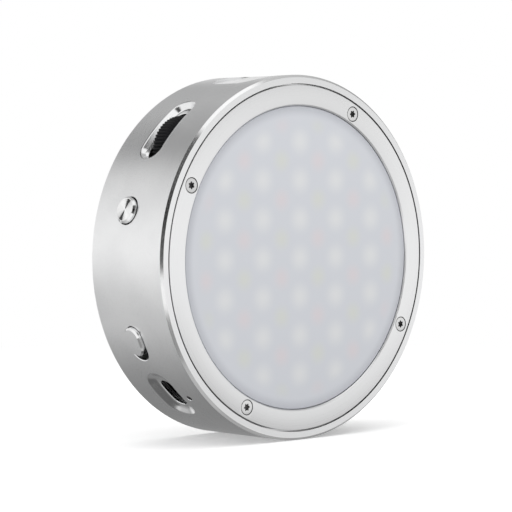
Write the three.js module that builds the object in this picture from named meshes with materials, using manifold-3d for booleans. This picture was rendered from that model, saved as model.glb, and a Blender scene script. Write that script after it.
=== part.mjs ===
// Pocket LED video light: a round aluminium puck with an opal front, a scroll dial, a push button,
// a slide switch and a charging socket in its rim, and a flat magnetic back with a small display.
//
// Frame: millimetres, +Z up. The puck stands on its rim with its round axis along Y and its
// luminous face towards -Y. The origin is under its middle, on the surface it stands on.
// "Depth" is measured from the front face towards the back, and an "angle" on the rim is measured
// from +X towards +Z, as seen from the front.

import * as THREE from "three";
import { mergeVertices } from "three/addons/utils/BufferGeometryUtils.js";
import Module from "manifold-3d";

const wasm = await Module();
wasm.setup();

// ---- Driving dimensions ------------------------------------------------------------------------

const bodyRadius = 45;
const bodyDepth = 26.4;
const rimSegments = 72;
const gap = 0.3; // between neighbouring pieces
const edgeBevel = 0.6;

const wallThickness = 3;
const coverPocketRadius = 42.9; // both ends of the body, for the bezel and the back cover
const bezelThickness = 2;
const bezelInnerRadius = 37.46;
const bezelChamfer = 0.3;
const backCoverThickness = 2.5;
const ledgeDepth = 11.5; // shoulder that carries the heat spreader
const ledgeThickness = 1;
const ledgeInnerRadius = 40.4;

const screwCircleRadius = 39.94;
const screwAngles = [63.2, 153.2, 243.2, 333.2];
const screwHeadRadius = 1.85;
const screwShaftRadius = 1;
const screwLength = 6;
const screwHeadRim = 0.15; // straight edge of the countersunk head
const screwTip = 0.4;
const screwHeadSink = 0.05;
const screwRecessRadius = 0.78;
const screwRecessLobe = 0.14;
const screwRecessDepth = 0.7;
const postRadius = 2.6;
const postHoleSpare = 1.5; // how far a screw's hole goes past its tip

const diffuserRecess = 0.35;
const diffuserWall = 1.5;
const diffuserSideWall = 1.2;
const diffuserFlangeRadius = 39;
const diffuserFlangeThickness = 1.2;
const gasketThickness = 0.8;
const chamberInnerRadius = 35.4;
const chamberOuterRadius = 37;
const ledBoardDepth = 8.9;
const ledBoardThickness = 1.2;
const ledBoardRadius = 37;
const spreaderDepth = 10.3;
const mainBoardDepth = 15.7;
const mainBoardThickness = 1.2;
const mainBoardRadius = 39.4;

const dialAngle = 134.8;
const dialDepth = 14;
const dialRadius = 9;
const dialTopRadius = 45.4; // the dial's outermost point, from the puck's axis
const dialWidth = 4;
const dialRidges = 40;
const dialRidgeHeight = 0.5;
const dialEdge = 0.4;
const dialBoreRadius = 1.3;
const dialAxleRadius = 1;
const dialAxleLength = 5.8;
const dialAxleShift = 0.6; // the axle reaches further back than forward
const encoderSide = 9.6;
const dialSlotAngle = 135.9;
const dialSlotLength = 16.3;
const dialWellAngle = 134.4;
const dialWellDepth = 14.1;
const dialWellLength = 20.4;
const dialWellWidth = 7.6;

const buttonAngle = 164.5;
const buttonDepth = 14.3;
const buttonRadius = 3.25;
const buttonProud = 0.95;
const buttonChamfer = 0.45;
const buttonTravel = 0.5;

const slideAngle = 206.4; // middle of the slide switch's slot
const slideDepth = 14.7;
const slideSlotLength = 9.4;
const slideSlotWidth = 5.8;
const slideTravel = 1.6;
const slideProud = 1;
const slideBevel = 0.4;

const flangeTop = 41.3; // outer face of the buttons' flanges, from the puck's axis
const flangeThickness = 0.8;
const flangeLip = 0.8;
const slideFlangeLip = 1.9;
const flangeRoomInner = 36;
const flangeRoomOuter = 41.8;

const usbAngle = 228;
const usbDepth = 14.1;
const usbWellAngle = 227.2;
const usbWellLength = 15.6;
const usbWellWidth = 9;
const usbPortLength = 9.5;
const usbPortWidth = 3.8;
const usbShellLength = 8.94;
const usbShellWidth = 3.2;
const usbShellWall = 0.3;
const usbShellMouth = 42.8; // the shell's outer end, from the puck's axis
const usbShellDepth = 7.3;
const usbTongueLength = 6.7;
const usbTongueWidth = 0.7;
const wellSink = 1.5;
const wellSlope = 1;

const lampHoleAngle = 227.5;
const lampHoleDepth = 7;
const lampHoleRadius = 0.8;

const topFlatAngle = 99.5;
const topFlatDepth = 12.4;
const topFlatRadius = 8.2;
const topFlatSink = 0.5;

const tripodAngle = 0;
const tripodDepth = 13.2;
const tripodFlatRadius = 7;
const tripodFlatSink = 0.5;
const tripodBoreRadius = 3.05;
const tripodInsertRadius = 4.4;
const tripodInsertLength = 6.2;
const tripodBossWall = 1.3;
const tripodBossFloor = 0.6;

const batterySize = new THREE.Vector3(52, 4.8, 36);
const padSize = new THREE.Vector3(40, 0.8, 26);
const displayHole = new THREE.Vector3(27, backCoverThickness + 2, 14);
const displaySize = new THREE.Vector3(25, 1.6, 12);
const windowThickness = 0.9;
const magnetRadius = 4.75;
const magnetSkin = 0.6; // metal left over each magnet
const magnetCircleRadius = 27;
const magnetAngles = [45, 135, 225, 315];

const frontY = -bodyDepth / 2;
const axisHeight = bodyRadius * Math.cos(Math.PI / rimSegments);

// ---- Finishes ----------------------------------------------------------------------------------

function finish(color, roughness, metalness) {
  return new THREE.MeshStandardMaterial({ color, roughness, metalness });
}

const satinAluminium = finish(0xc9cacc, 0.32, 1);
const polishedAluminium = finish(0xdcdddf, 0.15, 1);
const steel = finish(0x9a9b9e, 0.3, 1);
const opalPlastic = finish(0xdcdde2, 0.45, 0);
const whitePlastic = finish(0xf0f0ee, 0.6, 0);
const blackPlastic = finish(0x1b1b1d, 0.5, 0);
const foam = finish(0x3a3a3c, 0.95, 0);
const boardGreen = finish(0x1f5a3a, 0.5, 0);
const boardWhite = finish(0xeeeeea, 0.5, 0);
const cellFoil = finish(0xa8abb0, 0.4, 0.6);
const magnetNickel = finish(0xb8b6b0, 0.25, 1);
const glassBlack = finish(0x0c0d10, 0.08, 0);

// ---- Solids: joining and cutting ---------------------------------------------------------------

const tidyDistance = 1e-4;

function solidFrom(geometry) {
  const bare = geometry.clone();
  bare.deleteAttribute("normal");
  bare.deleteAttribute("uv");
  const merged = mergeVertices(bare, tidyDistance);
  return new wasm.Manifold(
    new wasm.Mesh({
      numProp: 3,
      vertProperties: merged.attributes.position.array,
      triVerts: new Uint32Array(merged.index.array),
    }),
  );
}

function geometryFrom(solid) {
  const mesh = solid.getMesh();
  const geometry = new THREE.BufferGeometry();
  geometry.setAttribute("position", new THREE.BufferAttribute(mesh.vertProperties, 3));
  geometry.setIndex(new THREE.BufferAttribute(mesh.triVerts, 1));
  geometry.computeVertexNormals();
  return geometry;
}

function combine(base, { add = [], cut = [] }) {
  let solid = solidFrom(base);
  for (const piece of add) solid = solid.add(solidFrom(piece));
  for (const piece of cut) solid = solid.subtract(solidFrom(piece));
  return geometryFrom(solid);
}

// ---- Shapes in the puck's own directions -------------------------------------------------------

// A ring or disc turned about the puck's axis; the profile is a closed list of [radius, depth].
function turned(profile, segments = rimSegments) {
  const points = profile.map(([radius, depth]) => new THREE.Vector2(radius, frontY + depth));
  const onAxis = profile[0][0] === 0;
  if (!onAxis) points.push(points[0].clone());
  return new THREE.LatheGeometry(points, segments, Math.PI / segments);
}

function ring(innerRadius, outerRadius, startDepth, endDepth, segments) {
  return turned(
    [
      [innerRadius, startDepth],
      [outerRadius, startDepth],
      [outerRadius, endDepth],
      [innerRadius, endDepth],
    ],
    segments,
  );
}

function disc(radius, startDepth, endDepth, segments) {
  return turned(
    [
      [0, startDepth],
      [radius, startDepth],
      [radius, endDepth],
      [0, endDepth],
    ],
    segments,
  );
}

// A post or hole parallel to the puck's axis.
function axialCylinder(radius, startDepth, endDepth, angle, circleRadius, segments = 16) {
  const geometry = new THREE.CylinderGeometry(radius, radius, endDepth - startDepth, segments);
  const turn = THREE.MathUtils.degToRad(angle);
  return geometry.translate(
    circleRadius * Math.cos(turn),
    frontY + (startDepth + endDepth) / 2,
    circleRadius * Math.sin(turn),
  );
}

// Carries a shape modelled along +Z (outwards), with its length along X, to an angle on the rim.
function toRim(geometry, angle, depth) {
  const turn = THREE.MathUtils.degToRad(angle - 90);
  return geometry.rotateY(-turn).translate(0, frontY + depth, 0);
}

function radialCylinder(radius, innerEnd, outerEnd, angle, depth, segments = 24) {
  const geometry = new THREE.CylinderGeometry(radius, radius, outerEnd - innerEnd, segments);
  geometry.rotateX(Math.PI / 2).translate(0, 0, (innerEnd + outerEnd) / 2);
  return toRim(geometry, angle, depth);
}

function radialBox(length, width, innerEnd, outerEnd, angle, depth) {
  const geometry = new THREE.BoxGeometry(length, width, outerEnd - innerEnd);
  geometry.translate(0, 0, (innerEnd + outerEnd) / 2);
  return toRim(geometry, angle, depth);
}

function stadiumShape(length, width) {
  const half = length / 2 - width / 2;
  const shape = new THREE.Shape();
  shape.moveTo(-half, -width / 2);
  shape.lineTo(half, -width / 2);
  shape.absarc(half, 0, width / 2, -Math.PI / 2, Math.PI / 2, false);
  shape.lineTo(-half, width / 2);
  shape.absarc(-half, 0, width / 2, Math.PI / 2, (3 * Math.PI) / 2, false);
  return shape;
}

// A slot with round ends, its length along the rim; a bevel opens its outer edge.
function radialStadium(length, width, innerEnd, outerEnd, angle, depth, bevel = 0) {
  const geometry = new THREE.ExtrudeGeometry(stadiumShape(length, width), {
    depth: outerEnd - innerEnd - 2 * bevel,
    bevelEnabled: bevel > 0,
    bevelThickness: bevel,
    bevelSize: bevel,
    bevelOffset: -bevel,
    bevelSegments: 1,
    curveSegments: 6,
  });
  geometry.translate(0, 0, innerEnd + bevel);
  return toRim(geometry, angle, depth);
}

// A finger well: a stadium whose sides slope outwards, so it is widest at the surface.
function fingerWell(length, width, angle, depth) {
  const geometry = new THREE.ExtrudeGeometry(stadiumShape(length, width), {
    depth: 2,
    bevelEnabled: true,
    bevelThickness: wellSink,
    bevelSize: wellSlope,
    bevelOffset: -wellSlope,
    bevelSegments: 2,
    curveSegments: 6,
  });
  geometry.translate(0, 0, bodyRadius);
  return toRim(geometry, angle, depth);
}

// Notches that clear the screw posts, for a plate that lies between two depths.
function postClearances(startDepth, endDepth) {
  const radius = postRadius + gap;
  return screwAngles.map((angle) => {
    return axialCylinder(radius, startDepth - 1, endDepth + 1, angle, screwCircleRadius, 16);
  });
}

// A notch that clears the boss behind the tripod socket.
function bossClearance() {
  const radius = tripodInsertRadius + tripodBossWall + gap;
  return radialCylinder(radius, 35, bodyRadius, tripodAngle, tripodDepth);
}

// Room behind the rim for the flange that keeps the push button and the slide knob in.
function buttonFlangeRoom() {
  const radius = buttonRadius + flangeLip + 2 * gap;
  return radialCylinder(radius, flangeRoomInner, flangeRoomOuter, buttonAngle, buttonDepth);
}

function slideFlangeRoom() {
  return radialStadium(
    slideSlotLength + 2 * slideFlangeLip + 2 * gap,
    slideSlotWidth + 2 * flangeLip + 2 * gap,
    flangeRoomInner,
    flangeRoomOuter,
    slideAngle,
    slideDepth,
  );
}

const root = new THREE.Group();
const puck = new THREE.Group();
puck.position.z = axisHeight;
root.add(puck);

function piece(name, geometry, material, parent = puck) {
  const mesh = new THREE.Mesh(geometry, material);
  mesh.name = name;
  parent.add(mesh);
  return mesh;
}

// ---- Body shell --------------------------------------------------------------------------------

function bodyShell() {
  const inner = bodyRadius - wallThickness;
  const frontPocket = bezelThickness + gap;
  const backPocket = bodyDepth - backCoverThickness - gap;
  const profile = [
    [coverPocketRadius, 0],
    [bodyRadius - edgeBevel, 0],
    [bodyRadius, edgeBevel],
    [bodyRadius, bodyDepth - edgeBevel],
    [bodyRadius - edgeBevel, bodyDepth],
    [coverPocketRadius, bodyDepth],
    [coverPocketRadius, backPocket],
    [inner, backPocket],
    [inner, ledgeDepth + ledgeThickness],
    [ledgeInnerRadius, ledgeDepth + ledgeThickness],
    [ledgeInnerRadius, ledgeDepth],
    [inner, ledgeDepth],
    [inner, frontPocket],
    [coverPocketRadius, frontPocket],
  ];
  const posts = [];
  const holes = [];
  for (const angle of screwAngles) {
    const holeRadius = screwShaftRadius + gap;
    posts.push(axialCylinder(postRadius, frontPocket, backPocket, angle, screwCircleRadius));
    for (const [start, end] of [
      [frontPocket - 1, screwLength + postHoleSpare],
      [bodyDepth - screwLength - postHoleSpare, backPocket + 1],
    ]) {
      holes.push(axialCylinder(holeRadius, start, end, angle, screwCircleRadius, 12));
    }
  }

  // A plain milled flat on top, and the tripod socket's own flat with a thick boss behind it.
  const topFlat = radialCylinder(
    topFlatRadius,
    bodyRadius - topFlatSink,
    bodyRadius + 3,
    topFlatAngle,
    topFlatDepth,
    36,
  );
  const flatRadius = bodyRadius - tripodFlatSink;
  const socketFloor = flatRadius - tripodInsertLength - gap;
  const boss = radialCylinder(
    tripodInsertRadius + tripodBossWall,
    socketFloor - tripodBossFloor,
    inner + 1,
    tripodAngle,
    tripodDepth,
  );
  const socketFlat = radialCylinder(
    tripodFlatRadius,
    flatRadius,
    bodyRadius + 3,
    tripodAngle,
    tripodDepth,
    36,
  );
  const socket = radialCylinder(
    tripodInsertRadius + gap,
    socketFloor,
    bodyRadius + 1,
    tripodAngle,
    tripodDepth,
  );

  const outside = bodyRadius + 2;
  const inside = inner - 6;
  const dialCuts = [
    fingerWell(dialWellLength, dialWellWidth, dialWellAngle, dialWellDepth),
    radialBox(
      2 * dialRadius + 2 * gap,
      dialWidth + 4 * gap,
      inside,
      inner + 0.5,
      dialAngle,
      dialDepth,
    ),
    radialStadium(
      dialSlotLength,
      dialWidth + 2 * gap,
      inner - 1,
      outside,
      dialSlotAngle,
      dialDepth,
    ),
  ];
  const buttonCuts = [
    radialCylinder(buttonRadius + gap, inside, outside, buttonAngle, buttonDepth),
    buttonFlangeRoom(),
  ];
  const slideCuts = [
    radialStadium(slideSlotLength, slideSlotWidth, inside, outside, slideAngle, slideDepth),
    slideFlangeRoom(),
  ];
  const usbCuts = [
    fingerWell(usbWellLength, usbWellWidth, usbWellAngle, usbDepth),
    radialStadium(usbPortLength, usbPortWidth, inside, outside, usbAngle, usbDepth),
    radialCylinder(lampHoleRadius, inside, outside, lampHoleAngle, lampHoleDepth, 16),
  ];
  const controlCuts = [...dialCuts, ...buttonCuts, ...slideCuts, ...usbCuts];
  return combine(turned(profile), {
    add: [...posts, boss],
    cut: [...holes, topFlat, socketFlat, socket, ...controlCuts],
  });
}

piece("body_shell", bodyShell(), satinAluminium);

function tripodInsert() {
  const outerEnd = bodyRadius - tripodFlatSink;
  const innerEnd = outerEnd - tripodInsertLength;
  const place = [tripodAngle, tripodDepth];
  const blank = radialCylinder(tripodInsertRadius, innerEnd, outerEnd, ...place);
  const bore = radialCylinder(tripodBoreRadius, innerEnd - 1, outerEnd + 1, ...place, 24);
  return combine(blank, { cut: [bore] });
}

piece("tripod_insert", tripodInsert(), steel);

// ---- Front: bezel, screws, diffuser, light chamber and LEDs -------------------------------------

// A countersunk screw with a six-lobed recess, modelled head down along +Y.
function countersunkScrew() {
  const headDepth = screwHeadRadius - screwShaftRadius;
  const points = [
    [0, 0],
    [screwHeadRadius, 0],
    [screwHeadRadius, screwHeadRim],
    [screwShaftRadius, headDepth + screwHeadRim],
    [screwShaftRadius, screwLength - screwTip],
    [screwShaftRadius - screwTip, screwLength],
    [0, screwLength],
  ].map(([radius, depth]) => new THREE.Vector2(radius, depth));
  const blank = new THREE.LatheGeometry(points, 16);
  const lobes = new THREE.Shape();
  const lobePoints = 12;
  for (let i = 0; i < lobePoints; i++) {
    const turn = (i / lobePoints) * 2 * Math.PI;
    const radius = screwRecessRadius + screwRecessLobe * Math.cos(6 * turn);
    const x = radius * Math.cos(turn);
    const y = radius * Math.sin(turn);
    if (i === 0) lobes.moveTo(x, y);
    else lobes.lineTo(x, y);
  }
  const depth = screwRecessDepth + 1;
  const recess = new THREE.ExtrudeGeometry(lobes, { depth, bevelEnabled: false });
  recess.rotateX(-Math.PI / 2).translate(0, -1, 0);
  return combine(blank, { cut: [recess] });
}

const screwGeometry = countersunkScrew();

function addScrews(prefix, facesFront) {
  screwAngles.forEach((angle, index) => {
    const turn = THREE.MathUtils.degToRad(angle);
    const screw = piece(prefix + (index + 1), screwGeometry, steel);
    screw.position.set(
      screwCircleRadius * Math.cos(turn),
      facesFront ? frontY + screwHeadSink : -frontY - screwHeadSink,
      screwCircleRadius * Math.sin(turn),
    );
    screw.rotation.x = facesFront ? 0 : Math.PI;
  });
}

// Clearance holes for countersunk screws, wide end at the front or the back face of the puck.
function countersinks(facesFront, plateThickness) {
  const wide = screwHeadRadius + gap;
  const narrow = screwShaftRadius + gap;
  const rim = screwHeadRim + screwHeadSink;
  return screwAngles.map((angle) => {
    const turn = THREE.MathUtils.degToRad(angle);
    const points = [
      [0, -1],
      [wide, -1],
      [wide, rim],
      [narrow, rim + wide - narrow],
      [narrow, plateThickness + 1],
      [0, plateThickness + 1],
    ].map(([radius, depth]) => new THREE.Vector2(radius, depth));
    const cone = new THREE.LatheGeometry(points, 16);
    if (!facesFront) cone.rotateX(Math.PI);
    return cone.translate(
      screwCircleRadius * Math.cos(turn),
      facesFront ? frontY : -frontY,
      screwCircleRadius * Math.sin(turn),
    );
  });
}

function frontBezel() {
  const outer = coverPocketRadius - gap;
  const profile = [
    [bezelInnerRadius, bezelChamfer],
    [bezelInnerRadius + bezelChamfer, 0],
    [outer, 0],
    [outer, bezelThickness],
    [bezelInnerRadius, bezelThickness],
  ];
  return combine(turned(profile), { cut: countersinks(true, bezelThickness) });
}

piece("front_bezel", frontBezel(), satinAluminium);
addScrews("bezel_screw_", true);

// Opal cap: a raised disc that fills the bezel, on a flange trapped behind it.
function diffuser() {
  const flangeStart = bezelThickness + gap;
  const flangeEnd = flangeStart + diffuserFlangeThickness;
  const raised = bezelInnerRadius - gap;
  const profile = [
    [0, diffuserRecess],
    [raised, diffuserRecess],
    [raised, flangeStart],
    [diffuserFlangeRadius, flangeStart],
    [diffuserFlangeRadius, flangeEnd],
    [raised - diffuserSideWall, flangeEnd],
    [raised - diffuserSideWall, diffuserRecess + diffuserWall],
    [0, diffuserRecess + diffuserWall],
  ];
  return combine(turned(profile), { cut: postClearances(flangeStart, flangeEnd) });
}

piece("diffuser", diffuser(), opalPlastic);

const gasketStart = bezelThickness + gap + diffuserFlangeThickness + gap;
const chamberStart = gasketStart + gasketThickness + gap;

function chamberRing(startDepth, endDepth) {
  return ring(chamberInnerRadius, chamberOuterRadius, startDepth, endDepth, 48);
}

piece("diffuser_gasket", chamberRing(gasketStart, gasketStart + gasketThickness), foam);
piece("light_chamber", chamberRing(chamberStart, ledBoardDepth - gap), whitePlastic);

// White and colour LED packages stand in staggered rows on the front of the board.
function ledBoard() {
  const board = disc(ledBoardRadius, ledBoardDepth, ledBoardDepth + ledBoardThickness, 48);
  const columnPitch = 12.4;
  const rowPitch = 9.55;
  const packageSize = 2.8;
  const packageHeight = 0.7;
  const edge = 33;
  const packages = [];
  for (let row = -7; row <= 7; row++) {
    const offset = row % 2 === 0 ? 0 : columnPitch / 2;
    for (let column = -3; column <= 3; column++) {
      const x = column * columnPitch + offset;
      const z = (row * rowPitch) / 2;
      if (Math.hypot(x, z) > edge) continue;
      const led = new THREE.BoxGeometry(packageSize, packageHeight + 0.2, packageSize);
      led.translate(x, frontY + ledBoardDepth - packageHeight / 2 + 0.1, z);
      packages.push(led);
    }
  }
  return combine(board, { add: packages });
}

piece("led_board", ledBoard(), boardWhite);

function heatSpreader() {
  const end = ledgeDepth - gap;
  const plate = disc(bodyRadius - wallThickness - gap, spreaderDepth, end, 48);
  return combine(plate, {
    cut: [
      ...postClearances(spreaderDepth, end),
      bossClearance(),
      buttonFlangeRoom(),
      slideFlangeRoom(),
    ],
  });
}

piece("heat_spreader", heatSpreader(), polishedAluminium);

// ---- Electronics -------------------------------------------------------------------------------

const dialCentreRadius = dialTopRadius - dialRadius;

function mainBoard() {
  const end = mainBoardDepth + mainBoardThickness;
  const plate = disc(mainBoardRadius, mainBoardDepth, end, 48);
  const dialNotch = axialCylinder(
    dialRadius + 2 * gap,
    mainBoardDepth - 1,
    end + 1,
    dialAngle,
    dialCentreRadius,
    32,
  );
  return combine(plate, {
    cut: [...postClearances(mainBoardDepth, end), dialNotch, bossClearance()],
  });
}

piece("main_board", mainBoard(), boardGreen);

function roundedPlate(size, cornerRadius, startDepth) {
  const halfX = size.x / 2 - cornerRadius;
  const halfZ = size.z / 2 - cornerRadius;
  const shape = new THREE.Shape();
  shape.absarc(halfX, halfZ, cornerRadius, 0, Math.PI / 2, false);
  shape.absarc(-halfX, halfZ, cornerRadius, Math.PI / 2, Math.PI, false);
  shape.absarc(-halfX, -halfZ, cornerRadius, Math.PI, (3 * Math.PI) / 2, false);
  shape.absarc(halfX, -halfZ, cornerRadius, (3 * Math.PI) / 2, 2 * Math.PI, false);
  const geometry = new THREE.ExtrudeGeometry(shape, {
    depth: size.y,
    bevelEnabled: false,
    curveSegments: 4,
  });
  return geometry.rotateX(Math.PI / 2).translate(0, frontY + startDepth + size.y, 0);
}

const padDepth = mainBoardDepth + mainBoardThickness + gap;
const batteryDepth = padDepth + padSize.y + gap;
piece("battery_pad", roundedPlate(padSize, 1, padDepth), foam);
piece("battery", roundedPlate(batterySize, 2, batteryDepth), cellFoil);

// Charging socket: a folded steel shell with a contact tongue, open to the outside.
function usbShell() {
  const innerEnd = usbShellMouth - usbShellDepth;
  const blank = radialStadium(
    usbShellLength,
    usbShellWidth,
    innerEnd,
    usbShellMouth,
    usbAngle,
    usbDepth,
  );
  const hollow = radialStadium(
    usbShellLength - 2 * usbShellWall,
    usbShellWidth - 2 * usbShellWall,
    innerEnd + 2 * usbShellWall,
    usbShellMouth + 1,
    usbAngle,
    usbDepth,
  );
  return combine(blank, { cut: [hollow] });
}

function usbTongue() {
  const innerEnd = usbShellMouth - usbShellDepth + 3 * usbShellWall;
  const outerEnd = usbShellMouth - 0.8;
  return radialBox(usbTongueLength, usbTongueWidth, innerEnd, outerEnd, usbAngle, usbDepth);
}

piece("usb_shell", usbShell(), steel);
piece("usb_tongue", usbTongue(), blackPlastic);

function lightPipe() {
  const length = 5.9;
  const outerEnd = bodyRadius - 0.5;
  const radius = lampHoleRadius - gap;
  const place = [lampHoleAngle, lampHoleDepth];
  return radialCylinder(radius, outerEnd - length, outerEnd, ...place, 12);
}

piece("light_pipe", lightPipe(), opalPlastic);

// ---- Dial --------------------------------------------------------------------------------------

const dialTurn = THREE.MathUtils.degToRad(dialAngle);
const dialGroup = new THREE.Group();
dialGroup.position.set(
  dialCentreRadius * Math.cos(dialTurn),
  frontY + dialDepth,
  dialCentreRadius * Math.sin(dialTurn),
);
puck.add(dialGroup);

// Knurled thumbwheel: straight ridges along its axis, with bevelled edges.
function dialWheel() {
  const shape = new THREE.Shape();
  for (let i = 0; i < dialRidges * 2; i++) {
    const turn = (i / (dialRidges * 2)) * 2 * Math.PI;
    const radius = dialRadius - dialEdge - (i % 2 === 0 ? 0 : dialRidgeHeight);
    const x = radius * Math.cos(turn);
    const y = radius * Math.sin(turn);
    if (i === 0) shape.moveTo(x, y);
    else shape.lineTo(x, y);
  }
  shape.closePath();
  const wheel = new THREE.ExtrudeGeometry(shape, {
    depth: dialWidth - 2 * dialEdge,
    bevelEnabled: true,
    bevelThickness: dialEdge,
    bevelSize: dialEdge,
    bevelSegments: 1,
  });
  wheel.rotateX(Math.PI / 2).translate(0, dialWidth / 2 - dialEdge, 0);
  return combine(wheel, { cut: [dialBore()] });
}

function dialBore() {
  return new THREE.CylinderGeometry(dialBoreRadius, dialBoreRadius, 2 * dialWidth, 20);
}

piece("dial_wheel", dialWheel(), blackPlastic, dialGroup);

const axle = new THREE.CylinderGeometry(dialAxleRadius, dialAxleRadius, dialAxleLength, 20);
piece("dial_axle", axle.translate(0, dialAxleShift, 0), steel, dialGroup);

function dialEncoder() {
  const start = dialDepth + dialWidth / 2 + gap;
  const end = batteryDepth - gap;
  const middle = (start + end) / 2 - dialDepth;
  const housing = new THREE.BoxGeometry(encoderSide, end - start, encoderSide);
  housing.rotateY(-dialTurn).translate(0, middle, 0);
  return combine(housing, { cut: [dialBore()] });
}

piece("dial_encoder", dialEncoder(), blackPlastic, dialGroup);

// ---- Push button and slide switch --------------------------------------------------------------

const buttonTop = bodyRadius + buttonProud;
const stemEnd = 39.9;
const stemRadius = 1;
const switchTop = stemEnd - buttonTravel - 0.1; // just clear of a fully pressed button
const switchHeight = 3.3;
const switchWidth = 3.4;

function pushButton() {
  const points = [
    [0, stemEnd],
    [stemRadius, stemEnd],
    [stemRadius, flangeTop - flangeThickness],
    [buttonRadius + flangeLip, flangeTop - flangeThickness],
    [buttonRadius + flangeLip, flangeTop],
    [buttonRadius, flangeTop],
    [buttonRadius, buttonTop - buttonChamfer],
    [buttonRadius - buttonChamfer, buttonTop],
    [0, buttonTop],
  ].map(([radius, height]) => new THREE.Vector2(radius, height));
  const geometry = new THREE.LatheGeometry(points, 28);
  return toRim(geometry.rotateX(Math.PI / 2), buttonAngle, buttonDepth);
}

// The knob rests at the upper end of its slot, half its travel along the rim from the middle.
function slideKnobShape(length, width, innerEnd, outerEnd, bevel = 0) {
  const upright = radialStadium(length, width, innerEnd, outerEnd, 90, slideDepth, bevel);
  const turn = THREE.MathUtils.degToRad(slideAngle - 90);
  return upright.translate(slideTravel / 2, 0, 0).rotateY(-turn);
}

function slideKnob() {
  const length = slideSlotLength - slideTravel - 2 * gap;
  const width = slideSlotWidth - 2 * gap;
  const overlap = flangeThickness / 2;
  const knobTop = bodyRadius + slideProud;
  const knob = slideKnobShape(length, width, flangeTop - overlap, knobTop, slideBevel);
  const flange = slideKnobShape(
    length + 2 * slideFlangeLip,
    width + 2 * flangeLip,
    flangeTop - flangeThickness,
    flangeTop,
  );
  const tab = slideKnobShape(4 * stemRadius, 2 * stemRadius, stemEnd, flangeTop - overlap);
  return combine(knob, { add: [flange, tab] });
}

function switchBlock(length, angle) {
  const boardTop = mainBoardDepth - gap;
  const start = switchTop - switchHeight;
  return radialBox(length, switchWidth, start, switchTop, angle, boardTop - switchWidth / 2);
}

piece("push_button", pushButton(), polishedAluminium);
piece("push_button_switch", switchBlock(6, buttonAngle), blackPlastic);
piece("slide_knob", slideKnob(), satinAluminium);
piece("slide_switch", switchBlock(8.5, slideAngle), blackPlastic);

// ---- Back: cover, screws, magnets and display --------------------------------------------------

const backCoverStart = bodyDepth - backCoverThickness;
const windowSize = new THREE.Vector3(
  displayHole.x - 2 * gap,
  windowThickness,
  displayHole.z - 2 * gap,
);

function backCover() {
  const plate = disc(coverPocketRadius - gap, backCoverStart, bodyDepth);
  const pocketStart = backCoverStart - 1;
  const pocketEnd = bodyDepth - magnetSkin;
  const pockets = magnetAngles.map((angle) => {
    return axialCylinder(magnetRadius + gap, pocketStart, pocketEnd, angle, magnetCircleRadius);
  });
  const opening = roundedPlate(displayHole, 1.5, backCoverStart - 1);
  return combine(plate, {
    cut: [...countersinks(false, backCoverThickness), ...pockets, opening],
  });
}

piece("back_cover", backCover(), satinAluminium);
addScrews("back_screw_", false);

magnetAngles.forEach((angle, index) => {
  const end = bodyDepth - magnetSkin - gap;
  const magnet = axialCylinder(magnetRadius, backCoverStart, end, angle, magnetCircleRadius);
  piece("magnet_" + (index + 1), magnet, magnetNickel);
});

const windowDepth = bodyDepth - windowSize.y - 0.1;
const moduleDepth = windowDepth - gap - displaySize.y;
piece("display_window", roundedPlate(windowSize, 1.2, windowDepth), glassBlack);
piece("display_module", roundedPlate(displaySize, 0.6, moduleDepth), blackPlastic);

export default root;
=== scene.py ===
import math

import bmesh
import bpy
import numpy as np
from mathutils import Matrix, Vector


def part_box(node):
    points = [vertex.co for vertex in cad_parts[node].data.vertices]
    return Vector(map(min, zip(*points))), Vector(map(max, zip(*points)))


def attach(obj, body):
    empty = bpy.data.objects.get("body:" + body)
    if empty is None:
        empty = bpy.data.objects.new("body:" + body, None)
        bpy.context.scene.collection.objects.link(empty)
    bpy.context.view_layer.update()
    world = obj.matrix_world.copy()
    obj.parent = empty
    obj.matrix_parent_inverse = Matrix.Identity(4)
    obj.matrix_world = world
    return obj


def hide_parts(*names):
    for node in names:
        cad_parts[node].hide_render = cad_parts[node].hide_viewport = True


# Looks of the pocket LED video light. Lengths are in millimetres until a mesh is made, "depth" is
# measured from the front face towards the back, and an "angle" on the rim goes from +X towards +Z.

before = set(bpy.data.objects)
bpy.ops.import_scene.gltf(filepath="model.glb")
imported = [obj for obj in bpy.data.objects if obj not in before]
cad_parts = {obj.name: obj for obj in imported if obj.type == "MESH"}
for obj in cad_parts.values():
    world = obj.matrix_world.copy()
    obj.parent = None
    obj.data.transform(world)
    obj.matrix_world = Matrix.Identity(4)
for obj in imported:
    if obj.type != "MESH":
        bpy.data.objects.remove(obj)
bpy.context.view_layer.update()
scene = bpy.context.scene

MM = 0.001
shell_low, shell_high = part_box("body_shell")
FRONT_Y = shell_low.y / MM
AXIS_Z = (shell_low.z + shell_high.z) / 2 / MM
BODY_DEPTH = (shell_high.y - shell_low.y) / MM
BODY_RADIUS = 45.0
EDGE_BEVEL = 0.6
COVER_POCKET = 42.9
INNER_RADIUS = 42.0
FRONT_POCKET, BACK_POCKET = 2.3, BODY_DEPTH - 2.8
GAP = 0.3

SCREW_ANGLES = (63.2, 153.2, 243.2, 333.2)
SCREW_CIRCLE = 39.94
SCREW_HEAD, SCREW_SINK, SCREW_HOLE = 1.74, 0.05, 1.3
RECESS_RADIUS, RECESS_LOBE, RECESS_DEPTH = 0.78, 0.14, 1.0

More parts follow.
